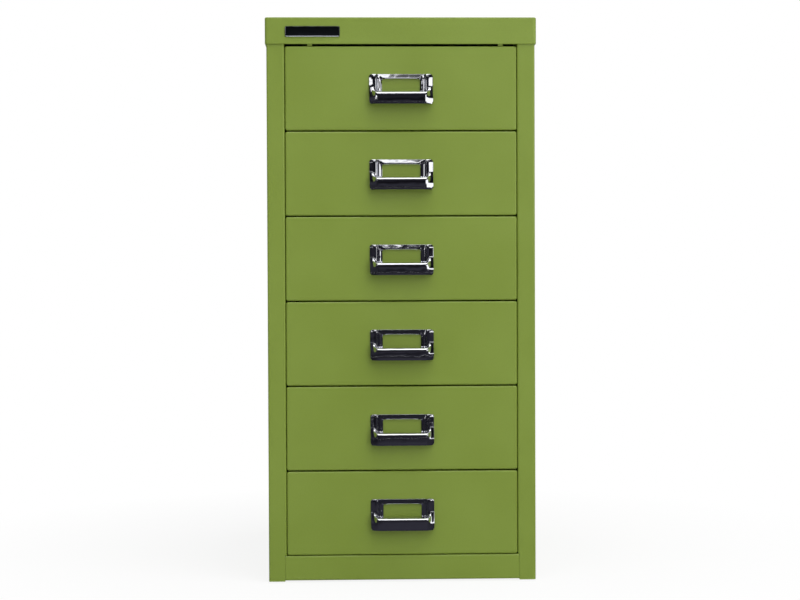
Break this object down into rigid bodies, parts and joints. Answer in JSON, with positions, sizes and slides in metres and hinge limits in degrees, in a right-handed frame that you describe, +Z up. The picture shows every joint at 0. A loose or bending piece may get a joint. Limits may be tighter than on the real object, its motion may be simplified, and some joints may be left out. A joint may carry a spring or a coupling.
{
  "type": "metal drawer cabinet",
  "caption": "Narrow upright steel desk cabinet with a stack of equal shallow drawers, a folded cap and plinth, green powder coat and chromed cup pulls with card frames.",
  "frame": {"origin": "middle of the floor area under the whole object, handles included, at the underside of the floor glides", "axes": "+Z up; -Y towards the front, where the drawers open; +X to the right as seen from the front"},
  "size_m": [0.283, 0.3914, 0.59],
  "materials": {
    "green_paint": "fine-textured satin powder coat, olive green",
    "chrome": "bright chromium plate on pressed steel",
    "nylon": "black moulded nylon",
    "nameplate": "dark grey anodised, blank, with a satin bevelled edge"
  },
  "bodies": {
    "carcase": {"top_cap": "green_paint", "left_side_panel": "green_paint", "right_side_panel": "green_paint", "back_panel": "green_paint", "base_panel": "green_paint", "front_plinth": "green_paint", "top_front_rail": "green_paint", "left_runner_liner": "green_paint", "right_runner_liner": "green_paint", "left_runner_pads": "nylon", "right_runner_pads": "nylon", "nameplate": "nameplate", "floor_glides": "nylon", "left_runner_1": "green_paint", "left_runner_2": "green_paint", "left_runner_3": "green_paint", "left_runner_4": "green_paint", "left_runner_5": "green_paint", "left_runner_6": "green_paint", "right_runner_1": "green_paint", "right_runner_2": "green_paint", "right_runner_3": "green_paint", "right_runner_4": "green_paint", "right_runner_5": "green_paint", "right_runner_6": "green_paint"},
    "drawer_1": {"drawer_1_tray": "green_paint", "drawer_1_front": "green_paint", "drawer_1_handle": "chrome", "drawer_1_glides": "nylon"},
    "drawer_2": {"drawer_2_tray": "green_paint", "drawer_2_front": "green_paint", "drawer_2_handle": "chrome", "drawer_2_glides": "nylon"},
    "drawer_3": {"drawer_3_tray": "green_paint", "drawer_3_front": "green_paint", "drawer_3_handle": "chrome", "drawer_3_glides": "nylon"},
    "drawer_4": {"drawer_4_tray": "green_paint", "drawer_4_front": "green_paint", "drawer_4_handle": "chrome", "drawer_4_glides": "nylon"},
    "drawer_5": {"drawer_5_tray": "green_paint", "drawer_5_front": "green_paint", "drawer_5_handle": "chrome", "drawer_5_glides": "nylon"},
    "drawer_6": {"drawer_6_tray": "green_paint", "drawer_6_front": "green_paint", "drawer_6_handle": "chrome", "drawer_6_glides": "nylon"}
  },
  "joints": [
    {"name": "drawer_1_slide", "type": "slide", "parent": "carcase", "child": "drawer_1", "axis": [0, -1, 0], "range_m": [0, 0.2924]},
    {"name": "drawer_2_slide", "type": "slide", "parent": "carcase", "child": "drawer_2", "axis": [0, -1, 0], "range_m": [0, 0.2924]},
    {"name": "drawer_3_slide", "type": "slide", "parent": "carcase", "child": "drawer_3", "axis": [0, -1, 0], "range_m": [0, 0.2924]},
    {"name": "drawer_4_slide", "type": "slide", "parent": "carcase", "child": "drawer_4", "axis": [0, -1, 0], "range_m": [0, 0.2924]},
    {"name": "drawer_5_slide", "type": "slide", "parent": "carcase", "child": "drawer_5", "axis": [0, -1, 0], "range_m": [0, 0.2924]},
    {"name": "drawer_6_slide", "type": "slide", "parent": "carcase", "child": "drawer_6", "axis": [0, -1, 0], "range_m": [0, 0.2924]}
  ]
}
